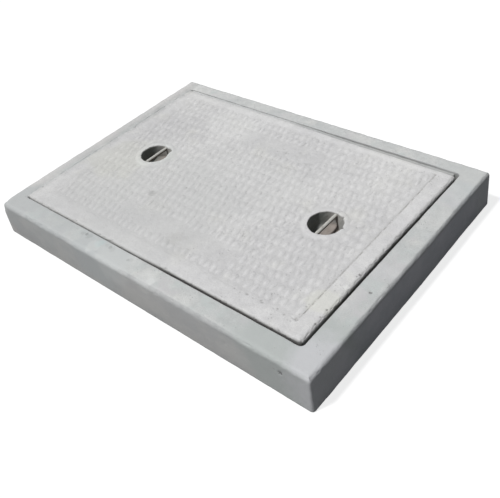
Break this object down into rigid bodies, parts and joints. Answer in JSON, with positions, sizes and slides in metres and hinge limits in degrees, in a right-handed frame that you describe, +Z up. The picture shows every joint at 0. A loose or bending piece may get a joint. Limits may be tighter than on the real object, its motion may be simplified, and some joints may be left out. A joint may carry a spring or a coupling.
{
  "type": "concrete manhole cover in its frame",
  "caption": "Rectangular concrete manhole cover with a studded tread and barred lifting pockets, resting flush in a rebated concrete frame.",
  "frame": {"origin": "middle of the frame's underside", "axes": "+Z up, X along the long sides, -Y towards the front long side"},
  "size_m": [1.048, 0.76, 0.1],
  "materials": {
    "frame_concrete": "pale cement-grey cast concrete, slightly cool, with pits, stains and worn edges",
    "cover_concrete": "pale warm-grey cast concrete with a worn raised tread",
    "bar_steel": "dull round steel bar smeared with cement, with light rust"
  },
  "bodies": {
    "root": {"frame": "frame_concrete", "cover": "cover_concrete", "lifting_bar_left": "bar_steel", "lifting_bar_right": "bar_steel"}
  },
  "joints": []
}
